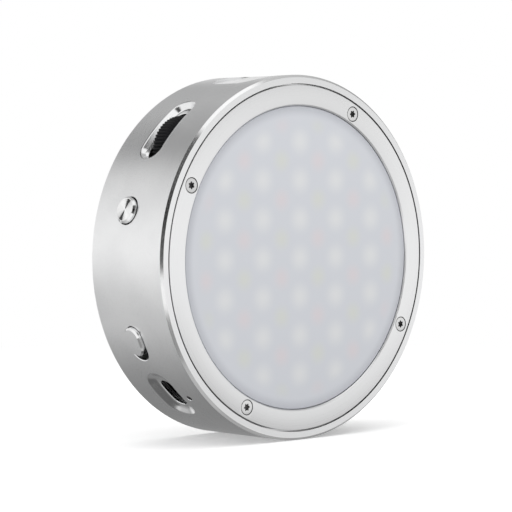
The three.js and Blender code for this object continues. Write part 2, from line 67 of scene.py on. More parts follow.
DIAL_ANGLE, DIAL_DEPTH = 134.8, 14.0
DIAL_RADIUS, DIAL_TOP, DIAL_WIDTH = 9.0, 45.4, 4.0
DIAL_SLOT_ANGLE, DIAL_SLOT_LENGTH = 135.9, 16.3
BUTTON_ANGLE, BUTTON_DEPTH, BUTTON_RADIUS, BUTTON_PROUD = 164.5, 14.3, 3.25, 0.95
BUTTON_GAP = 0.22
SLIDE_ANGLE, SLIDE_DEPTH = 206.4, 14.7
SLIDE_SLOT = (9.4, 5.6)
SLIDE_TRAVEL, SLIDE_PROUD, SLIDE_GAP = 1.6, 1.0, 0.15
KEY_CHAMFER = 0.4
USB_ANGLE, USB_DEPTH = 228.0, 14.1
USB_OPENING, USB_SHELL, USB_WALL = (9.5, 3.8), (8.94, 3.2), 0.3
LAMP_ANGLE, LAMP_DEPTH, LAMP_RADIUS = 227.5, 7.0, 0.8
TOP_FLAT_ANGLE, TOP_FLAT_DEPTH, TOP_FLAT_RADIUS, TOP_FLAT_SINK = 99.5, 12.4, 8.2, 0.5
TRIPOD_ANGLE, TRIPOD_DEPTH = 0.0, 13.2
TRIPOD_FLAT_RADIUS, TRIPOD_FLAT_SINK = 7.0, 0.5
TRIPOD_BORE, TRIPOD_INSERT, TRIPOD_LENGTH = 3.05, 4.4, 6.2
FLATS = ((TOP_FLAT_ANGLE, TOP_FLAT_SINK), (TRIPOD_ANGLE, TRIPOD_FLAT_SINK))

# Scooped wells in the rim. "wall" is the width of the sloping wall, and "lip" and "foot" are the
# shares of it that are rounded at its top and at its bottom.
DIAL_WELL = dict(
    angle=134.4, depth=14.1, length=20.5, width=7.6, sink=1.5, wall=1.7, lip=0.3, foot=0.3
)
USB_WELL = dict(
    angle=227.5, depth=14.0, length=16.2, width=9.1, sink=1.25, wall=3.0, lip=0.12, foot=0.6
)
WELLS = (DIAL_WELL, USB_WELL)

# Places in the body's list of materials.
SATIN, EDGE, WELL, FACE = range(4)


# ---- Materials ----------------------------------------------------------------------------------


def node(tree, kind, inputs=None, **settings):
    """A node with its settings; an input is a number, a tuple, or another node's output."""
    made = tree.nodes.new(kind)
    for key, value in settings.items():
        setattr(made, key, value)
    for key, value in (inputs or {}).items():
        if isinstance(value, bpy.types.NodeSocket):
            tree.links.new(value, made.inputs[key])
        else:
            made.inputs[key].default_value = value
    return made


def grey(level):
    return (level, level, level, 1)


def math_node(tree, operation, a, b=0.0):
    return node(tree, "ShaderNodeMath", {0: a, 1: b}, operation=operation).outputs[0]


def smooth_range(tree, value, start, end, low=0.0, high=1.0):
    """From low to high, softly, as the value goes from start to end."""
    made = node(
        tree,
        "ShaderNodeMapRange",
        {"Value": value, "From Min": start, "From Max": end, "To Min": low, "To Max": high},
        interpolation_type="SMOOTHSTEP",
    )
    return made.outputs[0]


def noise(tree, vector, scale, detail=2.0):
    made = node(
        tree, "ShaderNodeTexNoise", {"Vector": vector, "Scale": scale, "Detail": detail}
    )
    return made.outputs["Fac"]


def mixed(tree, factor, a, b):
    """Colour a where the factor is 0, and colour b where it is 1."""
    made = node(
        tree, "ShaderNodeMix", {0: factor, 6: a, 7: b}, data_type="RGBA", clamp_factor=True
    )
    return made.outputs[2]


def bump(tree, height, strength, distance):
    made = node(
        tree,
        "ShaderNodeBump",
        {"Height": height, "Strength": strength, "Distance": distance * MM},
    )
    return made.outputs["Normal"]


def empty_tree(owner):
    owner.use_nodes = True
    owner.node_tree.nodes.clear()
    return owner.node_tree


def new_material(name):
    """A material with one Principled shader, and its object coordinates."""
    material = bpy.data.materials.new(name)
    tree = empty_tree(material)
    shader = node(tree, "ShaderNodeBsdfPrincipled")
    output = node(tree, "ShaderNodeOutputMaterial")
    tree.links.new(shader.outputs[0], output.inputs[0])
    place = node(tree, "ShaderNodeTexCoord").outputs["Object"]
    return material, tree, shader, place


def link(tree, source, shader, socket):
    tree.links.new(source, shader.inputs[socket])


def blasted_metal(name, dark, light, roughness, grain=0.12, metallic=1.0):
    """Fine bead-blasted and anodised metal: an even grain, and slow changes in tone and gloss."""
    material, tree, shader, place = new_material(name)
    fine = noise(tree, place, 1 / (grain * MM), 2.0)
    slow = noise(tree, place, 90.0, 3.0)
    tone = smooth_range(tree, slow, 0.3, 0.7)
    link(tree, mixed(tree, tone, (*dark, 1), (*light, 1)), shader, "Base Color")
    rough = smooth_range(tree, fine, 0.25, 0.75, roughness - 0.04, roughness + 0.04)
    link(tree, rough, shader, "Roughness")
    link(tree, bump(tree, fine, 0.12, 0.004), shader, "Normal")
    shader.inputs["Metallic"].default_value = metallic
    return material


def axis_distance(tree, place, axis="Y"):
    """Distance in metres from the puck's axis, or from the Z axis of a piece's own frame."""
    parts = node(tree, "ShaderNodeSeparateXYZ", {0: place})
    second = parts.outputs["Y"]
    if axis == "Y":
        second = math_node(tree, "SUBTRACT", parts.outputs["Z"], AXIS_Z * MM)
    across = node(tree, "ShaderNodeCombineXYZ", {"X": parts.outputs["X"], "Y": second})
    length = node(tree, "ShaderNodeVectorMath", {0: across.outputs[0]}, operation="LENGTH")
    return length.outputs["Value"]


def ring_brushed_metal(name, dark, light, roughness, anisotropy, axis):
    """Metal turned on a lathe: rings of fine lines about an axis, with the glare they make."""
    material, tree, shader, place = new_material(name)
    ring_width = 0.09 * MM
    rings = node(
        tree,
        "ShaderNodeTexNoise",
        {"W": axis_distance(tree, place, axis), "Scale": 1 / ring_width, "Detail": 3.0},
        noise_dimensions="1D",
    ).outputs["Fac"]
    link(tree, mixed(tree, rings, (*dark, 1), (*light, 1)), shader, "Base Color")
    rough = smooth_range(tree, rings, 0.2, 0.8, roughness - 0.03, roughness + 0.05)
    link(tree, rough, shader, "Roughness")
    link(tree, bump(tree, rings, 0.08, 0.003), shader, "Normal")
    tangent = node(tree, "ShaderNodeTangent", direction_type="RADIAL", axis=axis)
    link(tree, tangent.outputs[0], shader, "Tangent")
    shader.inputs["Metallic"].default_value = 1.0
    shader.inputs["Anisotropic"].default_value = anisotropy
    # A quarter turn: Cycles stretches the glare along the tangent, and a lathe's runs across it.
    shader.inputs["Anisotropic Rotation"].default_value = 0.25
    return material


def plastic(name, dark, light, roughness, grain=0.2, depth=0.01, specular=0.5):
    """Moulded plastic with a fine spark-eroded texture."""
    material, tree, shader, place = new_material(name)
    fine = noise(tree, place, 1 / (grain * MM), 3.0)
    link(tree, mixed(tree, fine, (*dark, 1), (*light, 1)), shader, "Base Color")
    rough = smooth_range(tree, fine, 0.3, 0.7, roughness - 0.06, roughness + 0.06)
    link(tree, rough, shader, "Roughness")
    link(tree, bump(tree, fine, 0.35, depth), shader, "Normal")
    shader.inputs["Specular IOR Level"].default_value = specular
    return material


def lattice_spots(tree, x, z, shift, radius):
    """Soft round spots on the lattice of the LEDs, and the parity of each spot's cell."""
    cells, squares = [], []
    for position, pitch in ((x, 12.4 * MM), (z, 9.55 * MM)):
        place = math_node(tree, "ADD", math_node(tree, "DIVIDE", position, pitch), shift)
        cell = math_node(tree, "ROUND", place)
        offset = math_node(tree, "MULTIPLY", math_node(tree, "SUBTRACT", place, cell), pitch)
        cells.append(cell)
        squares.append(math_node(tree, "POWER", offset, 2.0))
    distance = math_node(tree, "SQRT", math_node(tree, "ADD", *squares))
    spot = smooth_range(tree, distance, 0.0, radius * MM, 1.0, 0.0)
    parity = math_node(tree, "PINGPONG", math_node(tree, "ADD", *cells), 1.0)
    return spot, parity


def opal_diffuser():
    """Milky plate with the blurred spots of white and coloured LEDs behind it, and painted shade
    darkening it towards its edge.
    """
    material, tree, shader, place = new_material("opal_diffuser")
    parts = node(tree, "ShaderNodeSeparateXYZ", {0: place})
    x = parts.outputs["X"]
    z = math_node(tree, "SUBTRACT", parts.outputs["Z"], AXIS_Z * MM)
    reach = axis_distance(tree, place)
    inside = smooth_range(tree, reach, 31 * MM, 36 * MM, 1.0, 0.0)
    white, _ = lattice_spots(tree, x, z, 0.0, 4.6)
    coloured, parity = lattice_spots(tree, x, z, 0.5, 3.8)
    tint = mixed(tree, parity, (0.84, 0.74, 0.76, 1), (0.78, 0.80, 0.70, 1))
    tone = (0.745, 0.765, 0.81, 1)
    for spot, strength, colour in ((white, 0.85, (0.85, 0.86, 0.87, 1)), (coloured, 0.5, tint)):
        share = math_node(tree, "MULTIPLY", math_node(tree, "MULTIPLY", spot, inside), strength)
        tone = mixed(tree, share, tone, colour)
    # Painted shade: the plate's colour darkens towards its edge, where the bezel's wall would shade
    # it.
    rim = smooth_range(tree, reach, 34.5 * MM, 37.4 * MM)
    tone = mixed(tree, rim, tone, (0.6, 0.615, 0.66, 1))
    link(tree, tone, shader, "Base Color")
    grain = noise(tree, place, 1 / (0.15 * MM), 2.0)
    link(tree, smooth_range(tree, grain, 0.2, 0.8, 0.42, 0.5), shader, "Roughness")
    link(tree, bump(tree, grain, 0.1, 0.003), shader, "Normal")
    shader.inputs["Specular IOR Level"].default_value = 0.3
    return material


def circuit_board(name, mask, trace):
    """Solder mask over copper tracks that run on a grid."""
    material, tree, shader, place = new_material(name)
    upright = node(
        tree, "ShaderNodeMapping", {"Vector": place, "Rotation": (math.pi / 2, 0, 0)}
    ).outputs[0]
    tracks = node(
        tree,
        "ShaderNodeTexBrick",
        {
            "Vector": upright,
            "Color1": (0, 0, 0, 1),
            "Color2": (0.3, 0.3, 0.3, 1),
            "Mortar": (1, 1, 1, 1),
            "Scale": 1.0,
            "Mortar Size": 0.12 * MM,
            "Brick Width": 3.1 * MM,
            "Row Height": 0.9 * MM,
        },
    ).outputs["Color"]
    link(tree, mixed(tree, tracks, (*mask, 1), (*trace, 1)), shader, "Base Color")
    gloss = noise(tree, place, 400.0)
    link(tree, smooth_range(tree, gloss, 0.3, 0.7, 0.3, 0.45), shader, "Roughness")
    link(tree, bump(tree, tracks, 0.3, 0.03), shader, "Normal")
    return material


def display_glass():
    """Smoked cover glass with faint smears."""
    material, tree, shader, place = new_material("display_glass")
    smear = noise(tree, place, 120.0, 3.0)
    tone = mixed(tree, smear, (0.006, 0.007, 0.009, 1), (0.014, 0.015, 0.018, 1))
    link(tree, tone, shader, "Base Color")
    link(tree, smooth_range(tree, smear, 0.3, 0.7, 0.04, 0.1), shader, "Roughness")
    shader.inputs["Coat Weight"].default_value = 0.6
    return material


ALUMINIUM_DARK, ALUMINIUM_LIGHT = (0.80, 0.803, 0.808), (0.85, 0.853, 0.856)
BLACK_DARK, BLACK_LIGHT = (0.006, 0.006, 0.007), (0.015, 0.015, 0.016)
satin = blasted_metal("satin_aluminium", ALUMINIUM_DARK, ALUMINIUM_LIGHT, 0.30)
well_metal = blasted_metal("well_aluminium", ALUMINIUM_DARK, ALUMINIUM_LIGHT, 0.17, 0.3)
edge_metal = blasted_metal(
    "cut_edge_aluminium", (0.86, 0.863, 0.866), (0.9, 0.902, 0.904), 0.16, 0.3
)
face_metal = ring_brushed_metal("turned_face", ALUMINIUM_DARK, ALUMINIUM_LIGHT, 0.3, 0.85, "Y")
mirror_metal = blasted_metal(
    "key_edge_aluminium", (0.84, 0.843, 0.846), (0.88, 0.882, 0.884), 0.09, 0.4
)
button_metal = ring_brushed_metal("spun_button", (0.8, 0.8, 0.8), (0.9, 0.9, 0.9), 0.16, 0.3, "Z")
steel = blasted_metal("screw_steel", (0.62, 0.62, 0.62), (0.72, 0.72, 0.72), 0.25, 0.1)
# A darker copy of the screw steel for the screws' recesses: painted shade inside the recess.
recess_steel_painted_shade = blasted_metal("recess_steel_painted_shade", (0.3, 0.3, 0.3), (0.4, 0.4, 0.4), 0.15, 0.1)
shell_steel = blasted_metal("socket_steel", (0.05, 0.05, 0.052), (0.08, 0.08, 0.082), 0.3, 0.3)
nickel = blasted_metal("magnet_nickel", (0.6, 0.58, 0.55), (0.68, 0.66, 0.62), 0.22, 0.4)
foil = blasted_metal("cell_foil", (0.42, 0.43, 0.45), (0.55, 0.56, 0.58), 0.38, 1.2, 0.7)
black = plastic("black_plastic", BLACK_DARK, BLACK_LIGHT, 0.45, specular=0.12)
foam = plastic("foam_rubber", (0.02, 0.02, 0.02), (0.07, 0.07, 0.07), 0.9, 0.6, 0.1)
white_plastic = plastic("white_plastic", (0.8, 0.8, 0.79), (0.88, 0.88, 0.87), 0.5)
pipe_plastic = plastic("light_pipe_plastic", (0.006, 0.006, 0.007), (0.015, 0.015, 0.017), 0.4)
opal = opal_diffuser()
green_board = circuit_board("green_board", (0.01, 0.09, 0.04), (0.03, 0.2, 0.08))
white_board = circuit_board("white_board", (0.8, 0.8, 0.78), (0.86, 0.86, 0.84))
glass = display_glass()


# ---- Mesh helpers -------------------------------------------------------------------------------


def about_axis(x, z, front=True):
    """A function from radius, angle and depth to a point, round an axis through x and z.

    The depth is measured from the front face, or from the back face where front is False.
    """

    def place(radius, angle, depth):
        turn = math.radians(angle)
        y = FRONT_Y + (depth if front else BODY_DEPTH - depth)
        return (x + radius * math.cos(turn), y, z + radius * math.sin(turn))

    return place


puck_point = about_axis(0, AXIS_Z)


def screw_place(angle, front=True):
    """The same round the axis of the screw at an angle."""
    x, _, z = puck_point(SCREW_CIRCLE, angle, 0)
    return about_axis(x, z, front)


def rim_matrix(angle, depth):
    """Local X along the rim, local Y along the puck's axis, local Z outwards from the axis."""
    turn = math.radians(angle)
    x = (math.sin(turn), 0, -math.cos(turn))
    z = (math.cos(turn), 0, math.sin(turn))
    origin = (0, (FRONT_Y + depth) * MM, AXIS_Z * MM)
    rows = [(x[i], (0, 1, 0)[i], z[i], origin[i]) for i in range(3)]
    return Matrix(rows + [(0, 0, 0, 1)])


def mesh_object(name, points, faces, *materials):
    """A closed mesh with its faces turned outwards, from points in millimetres."""
    mesh = bpy.data.meshes.new(name)
    mesh.from_pydata([[c * MM for c in p] for p in points], [], faces)
    work = bmesh.new()
    work.from_mesh(mesh)
    bmesh.ops.remove_doubles(work, verts=work.verts, dist=1e-7)
    bmesh.ops.recalc_face_normals(work, faces=work.faces)
    work.to_mesh(mesh)
    work.free()
    for material in materials:
        mesh.materials.append(material)
    made = bpy.data.objects.new(name, mesh)
    scene.collection.objects.link(made)
    return made


def stacked_rings(rings, closed):
    """Faces between rings of equal length; closed also joins the last ring to the first."""
    count = len(rings[0])
    points = [p for ring in rings for p in ring]
    faces = []
    last = len(rings) if closed else len(rings) - 1
    for i in range(last):
        a, b = i * count, ((i + 1) % len(rings)) * count
        for j in range(count):
            k = (j + 1) % count
            faces.append((a + j, a + k, b + k, b + j))
    if not closed:
        faces.append(tuple(range(count)))
        faces.append(tuple(range((len(rings) - 1) * count, len(rings) * count)))
    return points, faces


def rounded(profile, steps=5):
    """Replaces each corner (a, b, radius) of a closed outline by an arc."""
    out = []
    total = len(profile)
    for i, corner in enumerate(profile):
        radius = corner[2] if len(corner) > 2 else 0
        here = Vector(corner[:2])
        if not radius:
            out.append(tuple(here))
            continue
        before = (Vector(profile[i - 1][:2]) - here).normalized()
        after = (Vector(profile[(i + 1) % total][:2]) - here).normalized()
        half = before.angle(after) / 2
        reach = radius / math.tan(half)
        centre = here + (before + after).normalized() * (radius / math.sin(half))
        start, end = here + before * reach - centre, here + after * reach - centre
        sweep = math.atan2(start.x * end.y - start.y * end.x, start.dot(end))
        for k in range(steps + 1):
            turn = sweep * k / steps
            c, s = math.cos(turn), math.sin(turn)
            out.append((centre.x + c * start.x - s * start.y, centre.y + s * start.x + c * start.y))
    return out


def turned(name, profile, *materials, segments=256, place=puck_point):
    """A solid of revolution; a profile that starts and ends on the axis is capped by its poles."""
    on_axis = profile[0][0] == 0
    angles = [360 * (i + 0.5) / segments for i in range(segments)]
    if not on_axis:
        rings = [[place(r, a, d) for a in angles] for r, d in profile]
        return mesh_object(name, *stacked_rings(rings, True), *materials)
    rings = [[place(r, a, d) for a in angles] for r, d in profile[1:-1]]
    points, faces = stacked_rings(rings, False)
    faces = faces[:-2]
    for pole, ring in ((profile[0], 0), (profile[-1], len(rings) - 1)):
        points.append(place(0, 0, pole[1]))
        start = ring * segments
        for j in range(segments):
            faces.append((len(points) - 1, start + j, start + (j + 1) % segments))
    return mesh_object(name, points, faces, *materials)


def local_turn(radius, angle, height):
    turn = math.radians(angle)
    return (radius * math.cos(turn), radius * math.sin(turn), height)


def stadium(length, width, arc_steps=14, side_steps=10):
    """Points round a slot with round ends, its length along the first coordinate."""
    half = (length - width) / 2
    radius = width / 2
    points = []
    for centre, start in ((half, -90), (-half, 90)):
        for k in range(arc_steps + 1):
            turn = math.radians(start + 180 * k / arc_steps)
            points.append((centre + radius * math.cos(turn), radius * math.sin(turn)))
        for k in range(1, side_steps):
            points.append((centre * (1 - 2 * k / side_steps), math.copysign(radius, centre)))
    return points


def wrapped_stadium(name, size, angle, depth, levels, *materials, shift=0.0):
    """A slot-shaped solid whose walls stand square to the rim: levels are (radius, growth)."""
    rings = []
    for radius, growth in levels:
        outline = stadium(size[0] + 2 * growth, size[1] + 2 * growth)
        ring = []
        for along, across in outline:
            turn = angle - math.degrees((along + shift) / BODY_RADIUS)
            ring.append(puck_point(radius, turn, depth + across))
        rings.append(ring)
    return mesh_object(name, *stacked_rings(rings, False), *materials)


def boolean(target, *cutters, operation="DIFFERENCE"):
    """Cuts the cutters from the target, or joins them to it, and removes them."""
    for cutter in cutters:
        modifier = target.modifiers.new("cut", "BOOLEAN")
        modifier.operation = operation
        modifier.solver = "MANIFOLD"
        modifier.object = cutter
    bpy.context.view_layer.update()
    evaluated = target.evaluated_get(bpy.context.evaluated_depsgraph_get())
    result = bpy.data.meshes.new_from_object(evaluated)
    target.modifiers.clear()
    materials = list(target.data.materials)
    target.data = result
    target.data.materials.clear()
    for material in materials:
        target.data.materials.append(material)
    for cutter in cutters:
        bpy.data.objects.remove(cutter)
    return target


def on_flat(centre, normal, angle, sink):
    """True for a face of the flat that is milled into the rim at an angle."""
    turn = math.radians(angle)
    outward = Vector((math.cos(turn), 0, math.sin(turn)))
    level = (centre / MM - Vector((0, 0, AXIS_Z))).dot(outward) - (BODY_RADIUS - sink)
    return abs(level) < 0.01 and normal.dot(outward) > 0.999


def smooth(obj, sharp_angle=30, flats=()):
    """Smooth faces, with creases where two faces meet at more than the angle.

    The edges of the flats are creased too, because they meet the rim at only a few degrees.
    """
    work = bmesh.new()
    work.from_mesh(obj.data)
    bmesh.ops.dissolve_degenerate(work, edges=work.edges, dist=1e-8)
    limit = math.radians(sharp_angle)
    flat_of = {}
    for face in work.faces:
        face.smooth = True
        centre = face.calc_center_median()
        flat_of[face] = [on_flat(centre, face.normal, *flat) for flat in flats]
    for edge in work.edges:
        faces = edge.link_faces
        edge.smooth = (
            len(faces) == 2
            and flat_of[faces[0]] == flat_of[faces[1]]
            and edge.calc_face_angle(math.pi) < limit
        )
    work.to_mesh(obj.data)
    work.free()


def finish_piece(obj, body, slot, *nodes):
    """Hides the CAD parts that the piece stands for, and attaches it to the body it moves with; the
    slot is not used.
    """
    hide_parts(*nodes)
    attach(obj, body)


# ---- Body shell ---------------------------------------------------------------------------------


def soft_slope(t, lip, foot):
    """0 to 1 at an even slope, rounded over the first and the last share of the way."""
    t = np.clip(t, 0, 1)
    steep = 1 / (1 - lip / 2 - foot / 2)
    start = steep * t * t / (2 * lip)
    middle = steep * (t - lip / 2)
    end = 1 - steep * (1 - t) ** 2 / (2 * foot)
    return np.where(t < lip, start, np.where(t > 1 - foot, end, middle))


def well_distance(well, angle, depth):
    """Distance along the surface from a well's outline, negative inside it."""
    along = np.abs(np.radians(angle - well["angle"]) * BODY_RADIUS)
    across = depth - well["depth"]
    half = (well["length"] - well["width"]) / 2
    return np.hypot(np.maximum(along - half, 0), across) - well["width"] / 2


def rim_radius(angle, depth):
    """Radius of the rim's surface, with the scooped wells in it."""
    radius = np.full(np.broadcast(angle, depth).shape, BODY_RADIUS)
    for well in WELLS:
        inside = -well_distance(well, angle, depth) / well["wall"]
        radius = radius - well["sink"] * soft_slope(inside, well["lip"], well["foot"])
    return radius


def rim_normals(angle, depth):
    """The rim surface's true normals, from its slopes over a small step."""
    step = 0.02
    turn = math.degrees(step / BODY_RADIUS)
    slope_depth = (rim_radius(angle, depth + step) - rim_radius(angle, depth - step)) / (2 * step)
    slope_along = (rim_radius(angle + turn, depth) - rim_radius(angle - turn, depth)) / (2 * step)
    a = np.radians(angle)
    out = np.stack([np.cos(a), np.zeros_like(a), np.sin(a)], -1)
    along = np.stack([-np.sin(a), np.zeros_like(a), np.cos(a)], -1)
    normal = out - slope_along[:, None] * along
    normal[:, 1] -= slope_depth
    return normal / np.linalg.norm(normal, axis=1)[:, None]


def rim_lines(low, high, coarse, fine, dense):
    """Grid lines from low to high, closer together inside the dense stretches."""
    lines = [low]
    while lines[-1] < high - 1e-6:
        close = any(start <= lines[-1] < end for start, end in dense)
        lines.append(lines[-1] + (fine if close else coarse))
    lines[-1] = high
    return lines


def body_blank():
    """The body as one turned ring, with the wells pressed into a grid that is finer at them."""
    turns = np.array(rim_lines(0, 360, 1.0, 0.25, ((120, 149), (216, 239)))[:-1], float)
    depths = rim_lines(EDGE_BEVEL, BODY_DEPTH - EDGE_BEVEL, 0.8, 0.2, ((8.6, 19.0),))
    ledge_start, ledge_end, ledge_radius = 11.5, 12.5, 40.4
    profile = [(COVER_POCKET, 0), (BODY_RADIUS - EDGE_BEVEL, 0)]
    profile += [(BODY_RADIUS, d) for d in depths]
    profile += [
        (BODY_RADIUS - EDGE_BEVEL, BODY_DEPTH),
        (COVER_POCKET, BODY_DEPTH),
        (COVER_POCKET, BACK_POCKET),
        (INNER_RADIUS, BACK_POCKET),
        (INNER_RADIUS, ledge_end),
        (ledge_radius, ledge_end),
        (ledge_radius, ledge_start),
        (INNER_RADIUS, ledge_start),
        (INNER_RADIUS, FRONT_POCKET),
        (COVER_POCKET, FRONT_POCKET),
    ]
    rings = []
    for radius, depth in profile:
        radii = np.full(len(turns), radius)
        if radius == BODY_RADIUS:
            radii = rim_radius(turns, np.full(len(turns), depth))
        rings.append([puck_point(r, a, depth) for r, a in zip(radii, turns)])
    faces = stacked_rings(rings, True)
    return mesh_object("body_shell_skin", *faces, satin, edge_metal, well_metal, face_metal)


def rim_cylinder(radius, low, high, angle, depth, segments=96):
    """A solid cylinder that stands out from the puck's axis; its mesh is in the part's frame."""
    profile = [(0, low), (radius, low), (radius, high), (0, high)]
    made = turned("cutter", profile, segments=segments, place=local_turn)
    made.data.transform(rim_matrix(angle, depth))
    return made


def cut_levels(low, surface, chamfer):
    """Levels (radius, growth) of a hole from low up to a surface, where it is chamfered."""
    spare = 0.6
    return ((low, 0), (surface - chamfer, 0), (surface + spare, chamfer + spare))


def round_cut(radius, low, surface, angle, depth, chamfer, segments=96):
    """A round hole with a small chamfer that follows the rim."""
    rings = []
    for level, growth in cut_levels(low, surface, chamfer):
        ring = []
        for k in range(segments):
            turn = 2 * math.pi * k / segments
            across = (radius + growth) * math.sin(turn)
            along = math.degrees((radius + growth) * math.cos(turn) / BODY_RADIUS)
            ring.append(puck_point(level, angle - along, depth + across))
        rings.append(ring)
    return mesh_object("cutter", *stacked_rings(rings, False))


def slot_cut(size, angle, depth, low, surface, chamfer):
    return wrapped_stadium("cutter", size, angle, depth, cut_levels(low, surface, chamfer))


def axial_cylinder(radius, start, end, angle, circle=SCREW_CIRCLE, segments=48):
    """A solid cylinder parallel to the puck's axis."""
    profile = [(0, start), (radius, start), (radius, end), (0, end)]
    x, _, z = puck_point(circle, angle, 0)
    return turned("cutter", profile, segments=segments, place=about_axis(x, z))


def exact_rim_normals(obj):
    """Gives the faces on the rim the normals of the true surface, and the others their own."""
    mesh = obj.data
    points = np.zeros(len(mesh.vertices) * 3)
    mesh.vertices.foreach_get("co", points)
    points = points.reshape(-1, 3) / MM
    angle = np.degrees(np.arctan2(points[:, 2] - AXIS_Z, points[:, 0])) % 360
    depth = points[:, 1] - FRONT_Y
    radius = np.hypot(points[:, 0], points[:, 2] - AXIS_Z)
    on_rim = (
        (np.abs(radius - rim_radius(angle, depth)) < 0.02)
        & (depth > EDGE_BEVEL - 0.01)
        & (depth < BODY_DEPTH - EDGE_BEVEL + 0.01)
    )
    true = rim_normals(angle, depth)
    normals = np.zeros((len(mesh.loops), 3))
    least_agreement = 0.93
    for face in mesh.polygons:
        where = list(face.vertices)
        agreement = true[where].mean(0) @ np.array(face.normal)
        if on_rim[where].all() and agreement >= least_agreement:
            normals[list(face.loop_indices)] = true[where]
    mesh.normals_split_custom_set([tuple(n) for n in normals])


def body_material(face):
    """Which of the body's materials a face has."""
    x, y, z = (c / MM for c in face.center)
    depth = y - FRONT_Y
    angle = math.degrees(math.atan2(z - AXIS_Z, x)) % 360
    from_end = min(depth, BODY_DEPTH - depth)
    outer = math.hypot(x, z - AXIS_Z) > COVER_POCKET - 0.1
    if outer and from_end < 0.01:
        return FACE
    if outer and from_end < EDGE_BEVEL - 0.01:
        return EDGE
    if on_flat(face.center, face.normal, TOP_FLAT_ANGLE, TOP_FLAT_SINK):
        return EDGE
    if any(well_distance(well, angle, depth) < 0.05 for well in WELLS):
        return WELL
    return SATIN


def body_shell():
    body = body_blank()
    flat_radius = BODY_RADIUS - TRIPOD_FLAT_SINK
    socket_floor = flat_radius - TRIPOD_LENGTH - GAP
    tripod = TRIPOD_ANGLE, TRIPOD_DEPTH
    posts = [axial_cylinder(2 * SCREW_HOLE, FRONT_POCKET, BACK_POCKET, a) for a in SCREW_ANGLES]
    boss = rim_cylinder(TRIPOD_INSERT + 1.3, socket_floor - 0.6, INNER_RADIUS + 1, *tripod)
    boolean(body, *posts, boss, operation="UNION")
    cutters = []
    hole = 7.5
    for a in SCREW_ANGLES:
        cutters += [
            axial_cylinder(SCREW_HOLE, start, end, a, segments=32)
            for start, end in ((FRONT_POCKET - 1, hole), (BODY_DEPTH - hole, BACK_POCKET + 1))
        ]
    outside, inside = BODY_RADIUS + 3, 38
    dial_floor, usb_floor = BODY_RADIUS - DIAL_WELL["sink"], BODY_RADIUS - USB_WELL["sink"]
    top_flat = TOP_FLAT_RADIUS, BODY_RADIUS - TOP_FLAT_SINK
    dial_slot = DIAL_SLOT_LENGTH, DIAL_WIDTH + 2 * GAP
    button, button_hole = (BUTTON_ANGLE, BUTTON_DEPTH), BUTTON_RADIUS + BUTTON_GAP
    cutters += [
        rim_cylinder(*top_flat, outside, TOP_FLAT_ANGLE, TOP_FLAT_DEPTH),
        rim_cylinder(TRIPOD_FLAT_RADIUS, flat_radius, outside, *tripod),
        rim_cylinder(TRIPOD_INSERT + 0.08, socket_floor, outside, *tripod),
        slot_cut(dial_slot, DIAL_SLOT_ANGLE, DIAL_DEPTH, 40.5, dial_floor, 0.12),
        round_cut(button_hole, inside, BODY_RADIUS, *button, 0.12),
        slot_cut(SLIDE_SLOT, SLIDE_ANGLE, SLIDE_DEPTH, inside, BODY_RADIUS, 0.16),
        slot_cut(USB_OPENING, USB_ANGLE, USB_DEPTH, inside, usb_floor, 0.1),
        round_cut(LAMP_RADIUS, inside, BODY_RADIUS, LAMP_ANGLE, LAMP_DEPTH, 0.1),
    ]
    boolean(body, *cutters)
    smooth(body, 25, FLATS)
    for face in body.data.polygons:
        face.material_index = body_material(face)
    exact_rim_normals(body)
    finish_piece(body, "housing", "satin_aluminium", "body_shell")


# ---- Front --------------------------------------------------------------------------------------


def countersinks(front, plate):
    """Cutters for the screw holes of a plate at the front or at the back."""
    wide, narrow, end = SCREW_HEAD + 0.2, SCREW_HOLE, plate + 1
    profile = [(0, -1), (wide, -1), (wide, 0.7), (narrow, 1.5), (narrow, end), (0, end)]
    return [
        turned("cutter", profile, segments=64, place=screw_place(angle, front))
        for angle in SCREW_ANGLES
    ]


def front_bezel():
    inner, outer, thick, chamfer = 37.46, COVER_POCKET - 0.38, 2.0, 0.3
    profile = rounded(
        [
            (inner, chamfer, 0.06),
            (inner + chamfer, 0, 0.06),
            (outer, 0, 0.12),
            (outer, thick, 0.1),
            (inner, thick, 0.1),
        ],
        3,
    )
    bezel = turned("front_bezel_ring", profile, face_metal, segments=360)
    boolean(bezel, *countersinks(True, thick))
    smooth(bezel)
    finish_piece(bezel, "housing", "satin_aluminium", "front_bezel")


def screw(name, angle, front, screw_node):
    """Countersunk screw with a six-lobed recess and a softly rounded rim to its head; the recess
    gets a darker steel as painted shade.
    """
    length, shaft, tip = 6.0, 1.0, 0.4
    profile = rounded(
        [
            (0, SCREW_SINK),
            (SCREW_HEAD, SCREW_SINK, 0.06),
            (SCREW_HEAD, SCREW_SINK + 0.2, 0.02),
            (shaft, SCREW_SINK + 1.1),
            (shaft, length - tip),
            (shaft - tip, length),
            (0, length),
        ],
        4,
    )
    place = screw_place(angle, front)
    made = turned(name, profile, steel, recess_steel_painted_shade, segments=48, place=place)
    rings = []
    for below, growth in ((-0.55, 0.06), (0, 0.06), (0.06, 0.0), (RECESS_DEPTH, -0.05)):
        ring = []
        for turn in range(0, 360, 5):
            radius = RECESS_RADIUS + growth + RECESS_LOBE * math.cos(6 * math.radians(turn))
            ring.append(place(radius, turn + angle, SCREW_SINK + below))
        rings.append(ring)
    boolean(made, mesh_object("cutter", *stacked_rings(rings, False)))
    smooth(made)
    x, y, z = place(0, 0, SCREW_SINK)
    # Faces inside the recess take the darker steel, which is painted shade.
    for face in made.data.polygons:
        centre = face.center / MM
        near = math.hypot(centre.x - x, centre.z - z) < RECESS_RADIUS + RECESS_LOBE + 0.03
        in_recess = near and 0.01 < abs(centre.y - y) < RECESS_DEPTH + 0.01
        face.material_index = 1 if in_recess else 0
    finish_piece(made, "housing", "steel", screw_node)


